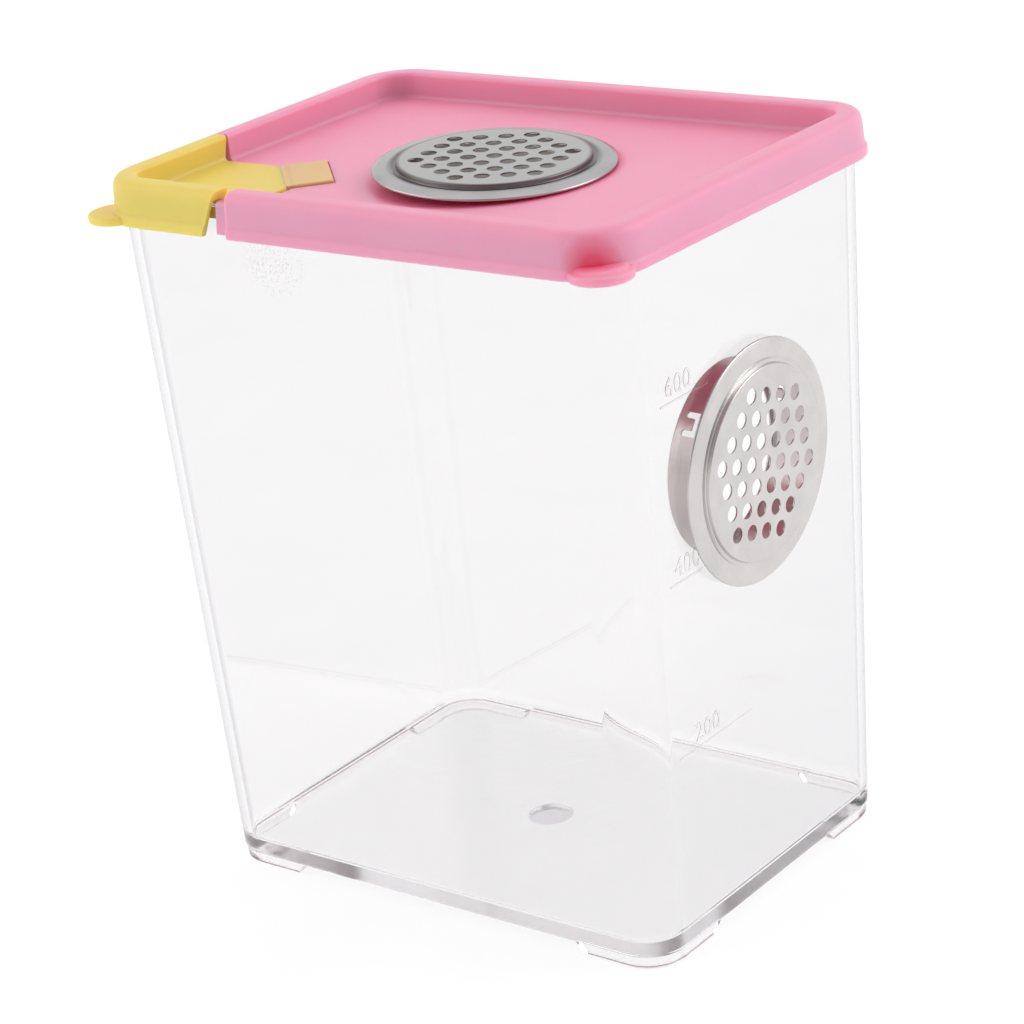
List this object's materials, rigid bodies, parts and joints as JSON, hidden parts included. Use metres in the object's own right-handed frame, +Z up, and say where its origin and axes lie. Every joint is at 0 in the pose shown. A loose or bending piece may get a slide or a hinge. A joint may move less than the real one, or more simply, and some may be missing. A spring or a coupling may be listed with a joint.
{
  "type": "ventilated insect cage",
  "caption": "Tapered clear rectangular tub with a press-fit soft lid, a hinged corner pouring spout, and round perforated steel vents in lid and side.",
  "frame": {"origin": "on the surface that the feet stand on, under the middle of the whole object's bounding box", "axes": "+Z up; the long plain wall faces -Y, the wall with the vent faces +X, and the spout flap covers the -X, -Y corner"},
  "size_m": [0.1098, 0.0828, 0.128],
  "materials": {
    "clear_plastic": "water-clear injection moulding, gloss",
    "pink_plastic": "soft translucent pink plastic, satin",
    "yellow_plastic": "soft translucent yellow plastic, satin",
    "stainless_steel": "satin pressed stainless sheet"
  },
  "bodies": {
    "container": {"container": "clear_plastic", "wall_vent_face": "stainless_steel", "wall_vent_barrel": "stainless_steel"},
    "lid": {"lid": "pink_plastic", "hinge_pad": "yellow_plastic", "living_hinge": "yellow_plastic", "lid_vent_face": "stainless_steel", "lid_vent_barrel": "stainless_steel"},
    "spout_flap": {"spout_flap": "yellow_plastic"}
  },
  "joints": [
    {"name": "lid_lift", "type": "slide", "parent": "container", "child": "lid", "axis": [0, 0, 1], "range_m": [0, 0.05]},
    {"name": "flap_hinge", "type": "hinge", "parent": "lid", "child": "spout_flap", "pos_m": [-0.03105, -0.01451, 0.1237], "axis": [-0.7071, 0.7071, 0], "range_deg": [0, 150]}
  ]
}
